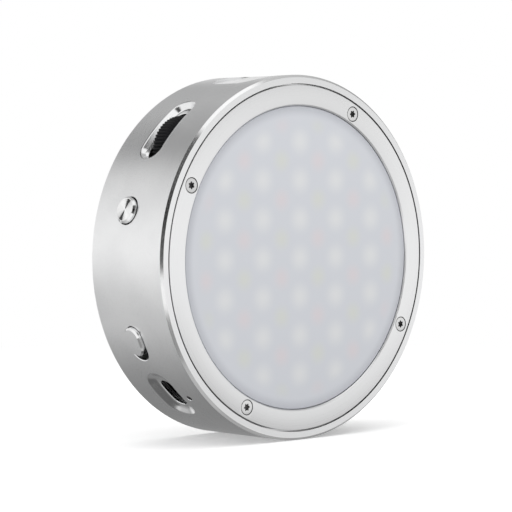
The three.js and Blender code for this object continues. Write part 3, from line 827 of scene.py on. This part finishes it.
def diffuser():
    """Opal dish with a thin plate in front, and a flange behind the bezel."""
    outer, front, plate_back = 37.32, 0.35, 1.85
    flange, flange_front, flange_back = 39, 2.3, 3.5
    inner = outer - 1.2
    profile = rounded(
        [
            (0, front),
            (outer, front, 0.2),
            (outer, flange_front),
            (flange, flange_front),
            (flange, flange_back, 0.1),
            (inner, flange_back),
            (inner, plate_back),
            (0, plate_back),
        ],
        5,
    )
    plate = turned("diffuser_plate", profile, opal)
    post_clearance = 2.9
    boolean(plate, *[axial_cylinder(post_clearance, 2.2, 4, a) for a in SCREW_ANGLES])
    smooth(plate)
    finish_piece(plate, "housing", "opal", "diffuser")


# ---- Rim controls -------------------------------------------------------------------------------


def dial_wheel():
    """Thumbwheel with a straight knurl and rounded edges, on a bore for its axle."""
    ridges, ridge_height, points = 64, 0.38, 768
    x, _, z = puck_point(DIAL_TOP - DIAL_RADIUS, DIAL_ANGLE, DIAL_DEPTH)
    place = about_axis(x, z)
    half = DIAL_WIDTH / 2
    levels = [(-half, -0.75), (-half + 0.1, -0.38), (-half + 0.35, -0.08), (-half + 0.6, 0)]
    levels += [(half - 0.6, 0), (half - 0.35, -0.08), (half - 0.1, -0.38), (half, -0.75)]
    rings = []
    for across, growth in levels:
        ring = []
        share = 1 if abs(across) < half - 0.05 else 0.3
        for k in range(points):
            turn = 360 * k / points
            wave = 0.5 + 0.5 * math.cos(ridges * math.radians(turn))
            radius = DIAL_RADIUS - ridge_height * (1 - share * wave ** 0.7) + growth
            ring.append(place(radius, turn, DIAL_DEPTH + across))
        rings.append(ring)
    wheel = mesh_object("dial_thumbwheel", *stacked_rings(rings, False), black)
    bore, start, end = 1.3, DIAL_DEPTH - 2 * half, DIAL_DEPTH + 2 * half
    bore_profile = [(0, start), (bore, start), (bore, end), (0, end)]
    boolean(wheel, turned("cutter", bore_profile, segments=48, place=place))
    smooth(wheel, 40)
    finish_piece(wheel, "dial", "black_plastic", "dial_wheel")


# Levels of the two keys inside the body, as radii: the stem's end, and the flange's two faces.
STEM_END, FLANGE_LOW, FLANGE_TOP = 39.9, 40.5, 41.3


def push_button():
    """Key with a turned face: its rings are grooves cut into the mesh."""
    top = BODY_RADIUS + BUTTON_PROUD
    stem, flange = 1, BUTTON_RADIUS + 0.8
    pitch = 0.22
    groove = pitch / 2 * math.tan(math.radians(25))
    face_radius = BUTTON_RADIUS - KEY_CHAMFER - 0.12
    profile = [
        (0, STEM_END),
        (stem, STEM_END),
        (stem, FLANGE_LOW),
        (flange, FLANGE_LOW),
        (flange, FLANGE_TOP),
        (BUTTON_RADIUS, FLANGE_TOP),
        (BUTTON_RADIUS, top - KEY_CHAMFER),
        (BUTTON_RADIUS - KEY_CHAMFER, top),
    ]
    for k in range(int(face_radius / pitch)):
        profile += [(face_radius - k * pitch, top), (face_radius - (k + 0.5) * pitch, top - groove)]
    profile.append((0, top))
    button = turned(
        "push_button_cap", profile, button_metal, mirror_metal, segments=128, place=local_turn
    )
    for face in button.data.polygons:
        in_face = face.center.xy.length < (face_radius + 0.1) * MM
        face.material_index = 0 if in_face and face.center.z > BODY_RADIUS * MM else 1
    smooth(button)
    button.matrix_world = rim_matrix(BUTTON_ANGLE, BUTTON_DEPTH)
    finish_piece(button, "button", "polished_aluminium", "push_button")


def slide_knob():
    """Knob of the slide switch, its face curved with the rim, at the upper end of its slot."""
    size = (SLIDE_SLOT[0] - SLIDE_TRAVEL - 2 * SLIDE_GAP, SLIDE_SLOT[1] - 2 * SLIDE_GAP)
    top = BODY_RADIUS + SLIDE_PROUD
    levels = [(FLANGE_LOW + 0.4, 0), (top - KEY_CHAMFER, 0), (top, -KEY_CHAMFER)]
    steps = 6
    flat = size[1] / 2 - KEY_CHAMFER - 0.05
    levels += [(top, -KEY_CHAMFER - flat * k / steps) for k in range(1, steps + 1)]

    def at_rest(name, outline, heights, *materials):
        shift = SLIDE_TRAVEL / 2
        place = SLIDE_ANGLE, SLIDE_DEPTH
        return wrapped_stadium(name, outline, *place, heights, *materials, shift=shift)

    knob = at_rest("slide_switch_knob", size, levels, satin, mirror_metal)
    flange_levels = ((FLANGE_LOW, 0), (FLANGE_TOP, 0))
    flange = at_rest("cutter", (size[0] + 3.8, size[1] + 1.6), flange_levels)
    tab = at_rest("cutter", (4, 2), ((STEM_END, 0), (FLANGE_LOW + 0.4, 0)))
    boolean(knob, flange, tab, operation="UNION")
    smooth(knob, 25)
    for face in knob.data.polygons:
        x, _, z = face.center / MM
        face.material_index = 0 if math.hypot(x, z - AXIS_Z) > top - 0.06 else 1
    finish_piece(knob, "slider", "satin_aluminium", "slide_knob")


def usb_socket():
    """Rolled steel shell of the charging socket, open at its mouth."""
    mouth, length, floor_thickness = 42.8, 7.3, 0.6
    place = USB_ANGLE, USB_DEPTH
    levels = ((mouth - length, 0), (mouth - 0.1, 0), (mouth, -0.08))
    shell = wrapped_stadium("usb_socket_shell", USB_SHELL, *place, levels, shell_steel)
    bore = tuple(side - 2 * USB_WALL for side in USB_SHELL)
    bore_levels = ((mouth - length + floor_thickness, 0), (mouth - 0.1, 0), (mouth + 1, 0.2))
    hollow = wrapped_stadium("cutter", bore, *place, bore_levels)
    boolean(shell, hollow)
    smooth(shell)
    finish_piece(shell, "housing", "steel", "usb_shell")


def tripod_insert():
    """Steel bush with a real quarter-inch thread in its bore."""
    outer_end = BODY_RADIUS - TRIPOD_FLAT_SINK
    inner_end = outer_end - TRIPOD_LENGTH
    pitch, thread_depth, chamfer = 1.27, 0.5, 0.12
    segments, steps = 72, 120
    angles = [360 * j / segments for j in range(segments)]
    rings = []
    for k in range(steps + 1):
        height = inner_end + TRIPOD_LENGTH * k / steps
        fade = min(1, (steps - k) / 12, k / 6)
        ring = []
        for angle in angles:
            phase = (height / pitch - angle / 360) % 1
            tooth = max(0, 1 - abs(phase - 0.5) * 2.6)
            radius = TRIPOD_BORE + chamfer - thread_depth * tooth * fade
            ring.append(local_turn(radius, angle, height))
        rings.append(ring)
    for radius, height in (
        (TRIPOD_INSERT - chamfer, outer_end),
        (TRIPOD_INSERT, outer_end - chamfer),
        (TRIPOD_INSERT, inner_end),
    ):
        rings.append([local_turn(radius, angle, height) for angle in angles])
    insert = mesh_object("tripod_bush", *stacked_rings(rings, True), steel)
    insert.data.transform(rim_matrix(TRIPOD_ANGLE, TRIPOD_DEPTH))
    smooth(insert, 40)
    finish_piece(insert, "housing", "steel", "tripod_insert")


# ---- Back ---------------------------------------------------------------------------------------


def rounded_box(name, size, corner, start, edge, *materials):
    """A plate with round corners and a soft edge at its outer face."""
    rings = []
    for depth, growth in (
        (start, 0),
        (start + size[1] - edge, 0),
        (start + size[1] - edge / 3, -edge / 4),
        (start + size[1], -edge),
    ):
        ring = []
        half_x, half_z = size[0] / 2 - corner, size[2] / 2 - corner
        for quarter, (side_x, side_z) in enumerate(((1, 1), (-1, 1), (-1, -1), (1, -1))):
            place = about_axis(side_x * half_x, AXIS_Z + side_z * half_z)
            for k in range(9):
                ring.append(place(corner + growth, 90 * quarter + 90 * k / 8, depth))
        rings.append(ring)
    return mesh_object(name, *stacked_rings(rings, False), *materials)


def back_cover():
    """Cover plate with pockets for the magnets in its inner face, and the display's opening."""
    thick, skin = 2.5, 0.6
    outer, start = COVER_POCKET - GAP, BODY_DEPTH - thick
    profile = rounded(
        [(0, start), (outer, start, 0.1), (outer, BODY_DEPTH, 0.2), (0, BODY_DEPTH)], 4
    )
    cover = turned("back_cover_plate", profile, face_metal, segments=360)
    pocket_radius, pocket_circle = 5.05, 27
    pockets = [
        axial_cylinder(pocket_radius, start - 1, BODY_DEPTH - skin, a, pocket_circle, 64)
        for a in (45, 135, 225, 315)
    ]
    opening = rounded_box("cutter", (27, 4.5, 14), 1.5, start - 1, 0.01)
    boolean(cover, *countersinks(False, thick), *pockets, opening)
    smooth(cover)
    finish_piece(cover, "housing", "satin_aluminium", "back_cover")


def display_window():
    size, corner, edge = (26.4, 0.9, 13.4), 1.2, 0.2
    window = rounded_box("display_window_glass", size, corner, BODY_DEPTH - 1.0, edge, glass)
    smooth(window, 20)
    finish_piece(window, "housing", "display_glass", "display_window")


body_shell()
front_bezel()
for number, screw_angle in enumerate(SCREW_ANGLES, 1):
    screw(f"bezel_screw_part_{number}", screw_angle, True, f"bezel_screw_{number}")
    screw(f"back_screw_part_{number}", screw_angle, False, f"back_screw_{number}")
diffuser()
dial_wheel()
push_button()
slide_knob()
usb_socket()
tripod_insert()
back_cover()
display_window()

NODE_MATERIALS = {
    "diffuser_gasket": foam,
    "light_chamber": white_plastic,
    "led_board": white_board,
    "heat_spreader": satin,
    "main_board": green_board,
    "battery_pad": foam,
    "battery": foil,
    "usb_tongue": black,
    "light_pipe": pipe_plastic,
    "dial_axle": steel,
    "dial_encoder": black,
    "push_button_switch": black,
    "slide_switch": black,
    "display_module": black,
}
for number in range(1, 5):
    NODE_MATERIALS[f"magnet_{number}"] = nickel
for name, material in NODE_MATERIALS.items():
    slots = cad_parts[name].data.materials
    slots.clear()
    slots.append(material)


# ---- Floor, light and camera --------------------------------------------------------------------


def floor():
    """White paper that the light's shadow falls on, and plain white further away."""
    material = bpy.data.materials.new("floor_white")
    tree = empty_tree(material)
    place = node(tree, "ShaderNodeTexCoord").outputs["Object"]
    tone = mixed(tree, noise(tree, place, 20.0), grey(1.2), grey(1.23))
    seen = node(tree, "ShaderNodeLightPath").outputs["Is Camera Ray"]
    tone = mixed(tree, seen, grey(0.4), tone)
    paper = node(tree, "ShaderNodeBsdfDiffuse", {"Color": tone})
    glow = node(tree, "ShaderNodeEmission", {"Color": grey(1), "Strength": 1.0})
    reach = node(tree, "ShaderNodeVectorMath", {0: place}, operation="LENGTH").outputs["Value"]
    share = math_node(tree, "MULTIPLY", smooth_range(tree, reach, 0.1, 0.3), seen)
    blend = node(tree, "ShaderNodeMixShader", {0: share, 1: paper.outputs[0], 2: glow.outputs[0]})
    output = node(tree, "ShaderNodeOutputMaterial")
    tree.links.new(blend.outputs[0], output.inputs[0])
    half = 3.0
    level = (AXIS_Z - BODY_RADIUS) * MM
    sides = ((-half, -half), (half, -half), (half, half), (-half, half))
    mesh = bpy.data.meshes.new("floor")
    mesh.from_pydata([(x, y, level) for x, y in sides], [], [(0, 1, 2, 3)])
    mesh.materials.append(material)
    made = bpy.data.objects.new("floor", mesh)
    scene.collection.objects.link(made)
    made.visible_glossy = False


def direction_share(tree, direction, towards, near, far):
    """1 within the near angle of a direction, fading to 0 at the far angle."""
    aim = Vector(towards).normalized()
    dot = node(
        tree, "ShaderNodeVectorMath", {0: direction, 1: tuple(aim)}, operation="DOT_PRODUCT"
    ).outputs["Value"]
    return smooth_range(tree, dot, math.cos(math.radians(far)), math.cos(math.radians(near)))


# Light behind the puck by its turn about the puck's axis: degrees from +X towards +Z, and level.
BEHIND_BY_TURN = (
    (0, 0.46), (13, 0.42), (22, 0.36), (33, 0.4), (50, 0.5), (65, 0.52), (80, 0.48), (93, 0.42),
    (103, 0.46), (113, 0.62), (123, 0.70), (133, 0.78), (143, 0.87), (153, 0.96), (165, 1.02),
    (178, 1.08), (193, 1.2), (203, 1.14), (213, 0.94), (223, 0.68), (233, 0.53), (243, 0.41),
    (253, 0.35), (263, 0.29), (273, 0.255), (290, 0.26), (315, 0.27), (345, 0.4), (360, 0.46),
)
# Flags and small lamps: level, direction, and the angles within which it is full and beyond which
# it is gone.
PATCHES = (
    (0.14, (-0.15, 0.10, -0.98), 15, 25),
    (0.88, (0.63, 0.735, 0.257), 4, 7),
    (1.1, (0.12, -0.37, 0.92), 17, 24),
    (0.03, (-0.30, 0.57, 0.76), 10, 15),
    (0.03, (-0.38, 0.90, -0.20), 11, 14),
    (0.3, (-0.46, -0.65, -0.60), 13, 18),
    (0.5, (-0.2, -0.48, -0.85), 11, 17),
    (0.07, (-0.72, -0.68, 0.06), 9, 12),
    (0.07, (-0.69, -0.66, 0.25), 9, 12),
    (0.07, (-0.60, -0.645, 0.46), 9, 12),
    (0.07, (-0.48, -0.605, 0.63), 9, 12),
    (0.07, (-0.36, -0.565, 0.74), 9, 12),
    (0.01, (-0.63, -0.68, 0.34), 8, 11),
)


def studio_world():
    """A white studio: bright to the left and in front, shaded above, below and round the lens."""
    world = bpy.data.worlds.new("studio")
    scene.world = world
    tree = empty_tree(world)
    direction = node(tree, "ShaderNodeTexCoord").outputs["Generated"]
    parts = node(tree, "ShaderNodeSeparateXYZ", {0: direction})
    x, y, z = (parts.outputs[axis] for axis in "XYZ")
    turn = math_node(tree, "ARCTAN2", z, x)
    share = math_node(tree, "FRACT", math_node(tree, "MULTIPLY", turn, 1 / (2 * math.pi)))
    ramp = node(tree, "ShaderNodeValToRGB", {0: share})
    elements = ramp.color_ramp.elements
    while len(elements) < len(BEHIND_BY_TURN):
        elements.new(0.5)
    for element, (degrees, level) in zip(elements, BEHIND_BY_TURN):
        element.position = degrees / 360
        element.color = grey(level)
    behind = mixed(tree, smooth_range(tree, y, 0.82, 0.93), ramp.outputs["Color"], grey(0.88))
    low = mixed(tree, smooth_range(tree, z, -0.42, -0.04), grey(0.42), grey(1.08))
    front = mixed(tree, smooth_range(tree, z, 0.06, 0.45), low, grey(0.58))
    sides = mixed(tree, smooth_range(tree, x, -0.3, 0.1), grey(1.02), front)
    light = mixed(tree, smooth_range(tree, y, -0.1, 0.4), sides, behind)
    for level, towards, near, far in PATCHES:
        share = direction_share(tree, direction, towards, near, far)
        light = mixed(tree, share, light, grey(level))
    seen = node(tree, "ShaderNodeLightPath").outputs["Is Camera Ray"]
    light = mixed(tree, seen, light, grey(1))
    background = node(tree, "ShaderNodeBackground", {"Color": light, "Strength": 1.0})
    output = node(tree, "ShaderNodeOutputWorld")
    tree.links.new(background.outputs[0], output.inputs[0])


def area_light(name, position, side, power, shadow):
    """A square lamp that faces the middle of the light, and isn't seen in its metal."""
    data = bpy.data.lights.new(name, "AREA")
    data.shape = "RECTANGLE"
    data.size = data.size_y = side
    data.energy = power
    data.use_shadow = shadow
    made = bpy.data.objects.new(name, data)
    scene.collection.objects.link(made)
    made.location = position
    towards = Vector((0, 0, BODY_RADIUS * MM)) - Vector(position)
    made.rotation_euler = towards.to_track_quat("-Z", "Y").to_euler()
    made.visible_glossy = False


def camera():
    """A long lens from the front left, a little above the light's middle."""
    azimuth, elevation = math.radians(-42.716), math.radians(2.205)
    aim = Vector((-1.65, 1.33, 45.05)) * MM
    distance = 555 * MM
    back = Vector((
        math.sin(azimuth) * math.cos(elevation),
        -math.cos(azimuth) * math.cos(elevation),
        math.sin(elevation),
    ))
    data = bpy.data.cameras.new("camera")
    data.lens = 155.69
    data.sensor_width = 36
    data.clip_start = 0.01
    made = bpy.data.objects.new("camera", data)
    scene.collection.objects.link(made)
    made.location = aim + back * distance
    made.rotation_euler = back.to_track_quat("Z", "Y").to_euler()
    scene.camera = made


floor()
studio_world()
area_light("overhead", (0, 0, 1.2), 2.4, 10, True)
area_light("front_fill", (-0.4, -2.0, 0.8), 1.4, 9, False)
camera()
scene.view_settings.view_transform = "Standard"
